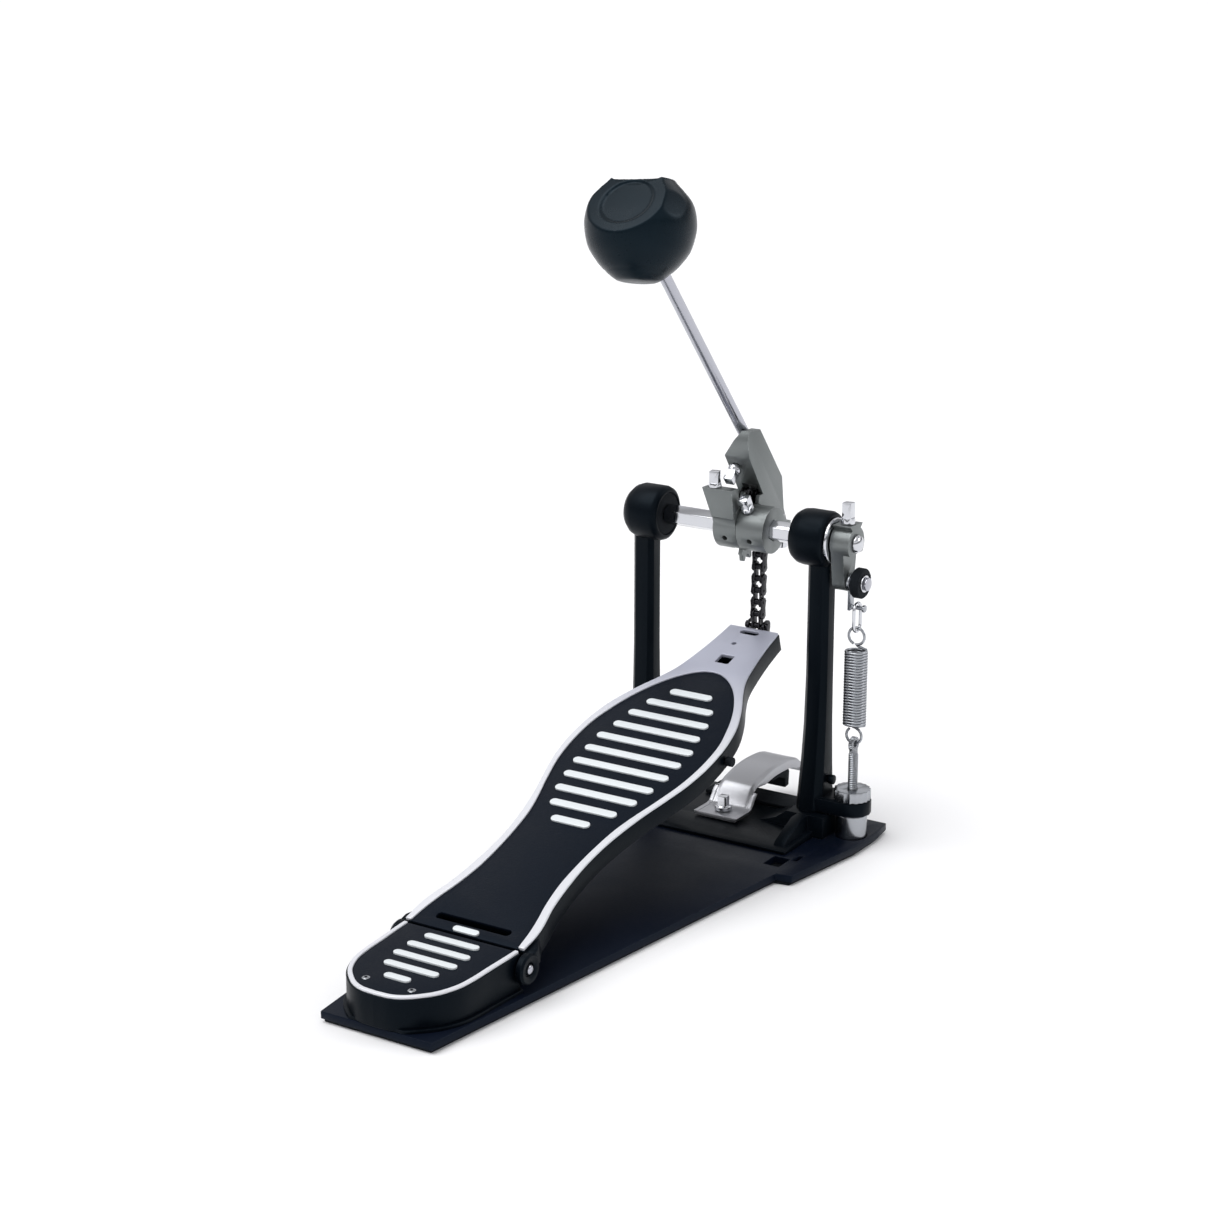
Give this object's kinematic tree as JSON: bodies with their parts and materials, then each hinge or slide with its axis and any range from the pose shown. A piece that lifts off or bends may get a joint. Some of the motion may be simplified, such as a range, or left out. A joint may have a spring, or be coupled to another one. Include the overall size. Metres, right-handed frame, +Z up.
{
  "type": "bass drum pedal",
  "caption": "Single chain-drive bass drum pedal: footboard on a base plate, sprocket axle on two posts, leaning beater, side return spring and drum hoop clamp.",
  "frame": {"origin": "floor point under the axle, on the centre line of footboard and sprocket", "axes": "+Z up, +Y from the heel towards the drum, +X to the player's right, along the axle"},
  "size_m": [0.1548, 0.3668, 0.3475],
  "materials": {
    "black": "satin near-black paint",
    "rubber": "matt black rubber",
    "cast": "grey die casting",
    "chrome": "bright chrome plate",
    "zinc": "bright zinc plate",
    "steel": "polished steel",
    "silver": "satin silver casting with near-black sunk panel",
    "chain": "black oxide steel",
    "beater": "satin black"
  },
  "bodies": {
    "frame": {"base_plate": "black", "rubber_mat": "rubber", "frame_casting": "black", "hoop_pad": "rubber", "left_post": "black", "right_post": "black", "post_screw_right": "black", "post_screw_left": "black", "left_bearing": "steel", "right_bearing": "steel", "heel_block": "black", "heel_screw_left": "zinc", "heel_screw_right": "zinc", "hinge_pin": "steel", "spring_rod": "zinc", "tension_sleeve": "zinc"},
    "axle_body": {"axle": "chrome", "bearing_ring": "chrome", "sprocket_hub": "cast", "hub_clamp_screw": "chrome", "beater_holder": "cast", "lock_key_screw": "chrome", "shaft_key_screw": "chrome", "hub_key_screw": "chrome", "rocker": "cast", "rocker_key_screw": "chrome", "rocker_end_screw": "chrome", "rocker_pin": "steel", "hanger_hub": "steel", "chain_wrap_c": "chain", "chain_wrap_d": "chain"},
    "beater": {"beater_shaft": "steel", "beater_head": "beater"},
    "board": {"footboard": "silver", "board_stop": "rubber", "toe_clevis": "steel"},
    "chain_b": {"chain_unwrap_b": "chain"},
    "chain_a": {"chain_unwrap_a": "chain"},
    "chain_run": {"chain_link_1": "chain", "chain_link_2": "chain", "chain_link_3": "chain", "chain_link_4": "chain", "chain_link_5": "chain", "chain_link_6": "chain", "chain_link_7": "chain", "chain_link_8": "chain", "chain_link_9": "chain", "toe_pin": "chrome"},
    "spring_low": {"return_spring": "zinc"},
    "spring_up": {"hanger_link": "zinc"},
    "yoke": {"hanger_yoke": "zinc"},
    "hanger": {"hanger_bearing": "rubber"},
    "nut": {"tension_nut": "zinc"},
    "clamp": {"hoop_clamp": "silver", "clamp_pad": "rubber"},
    "clamp_bolt": {"clamp_screw": "chrome"}
  },
  "joints": [
    {"name": "axle_swing", "type": "hinge", "parent": "frame", "child": "axle_body", "pos_m": [0, 0, 0.16], "axis": [-1, 0, 0], "range_deg": [-1, 45], "stiffness_Nm_per_rad": 2},
    {"name": "footboard_tilt", "type": "hinge", "parent": "frame", "child": "board", "pos_m": [0, -0.2495, 0.0165], "axis": [-1, 0, 0], "range_deg": [-0.08, 3]},
    {"name": "chain_b_turn", "type": "hinge", "parent": "axle_body", "child": "chain_b", "pos_m": [0, 0.0128, 0.17164], "axis": [-1, 0, 0], "range_deg": [-13.5, 0.4]},
    {"name": "chain_a_turn", "type": "hinge", "parent": "chain_b", "child": "chain_a", "pos_m": [0, 0.01614, 0.16624], "axis": [-1, 0, 0], "range_deg": [-21.3, 0.6]},
    {"name": "chain_run_turn", "type": "hinge", "parent": "chain_a", "child": "chain_run", "pos_m": [0, 0.0173, 0.16], "axis": [-1, 0, 0], "range_deg": [-14.9, 0.45]},
    {"name": "spring_tilt", "type": "hinge", "parent": "frame", "child": "spring_low", "pos_m": [0.066, 0, 0.0549], "axis": [1, 0, 0], "range_deg": [-0.25, 9]},
    {"name": "spring_extend", "type": "slide", "parent": "spring_low", "child": "spring_up", "axis": [0, 0, 1], "range_m": [-0.0002, 0.0071], "deforming": ["return_spring"]},
    {"name": "yoke_turn", "type": "hinge", "parent": "axle_body", "child": "yoke", "pos_m": [0.0622, 0, 0.14], "axis": [-1, 0, 0], "range_deg": [-54.2, 1.4]},
    {"name": "hanger_spin", "type": "hinge", "parent": "axle_body", "child": "hanger", "pos_m": [0.067, 0, 0.14], "axis": [1, 0, 0], "continuous": true},
    {"name": "beater_height", "type": "slide", "parent": "axle_body", "child": "beater", "axis": [0, -0.6494, 0.7604], "range_m": [-0.015, 0.015]},
    {"name": "nut_spin", "type": "hinge", "parent": "frame", "child": "nut", "pos_m": [0.066, 0, 0.028], "axis": [0, 0, 1], "continuous": true},
    {"name": "clamp_lift", "type": "hinge", "parent": "frame", "child": "clamp", "pos_m": [0.0008, -0.027, 0.0105], "axis": [1, 0, 0], "range_deg": [0, 5]},
    {"name": "clamp_screw_rise", "type": "slide", "parent": "frame", "child": "clamp_bolt", "axis": [0, 0, 1], "range_m": [0, 0.0016]}
  ],
  "couplings": [
    {"joint": "footboard_tilt", "follows": "axle_swing", "ratio": 0.0659},
    {"joint": "chain_b_turn", "follows": "axle_swing", "ratio": -0.296},
    {"joint": "chain_a_turn", "follows": "axle_swing", "ratio": -0.469},
    {"joint": "chain_run_turn", "follows": "axle_swing", "ratio": -0.3267},
    {"joint": "spring_tilt", "follows": "axle_swing", "ratio": 0.198},
    {"joint": "spring_extend", "follows": "axle_swing", "m_per_rad": 0.0089},
    {"joint": "yoke_turn", "follows": "axle_swing", "ratio": -1.198},
    {"joint": "clamp_screw_rise", "follows": "clamp_lift", "m_per_rad": 0.0165}
  ]
}
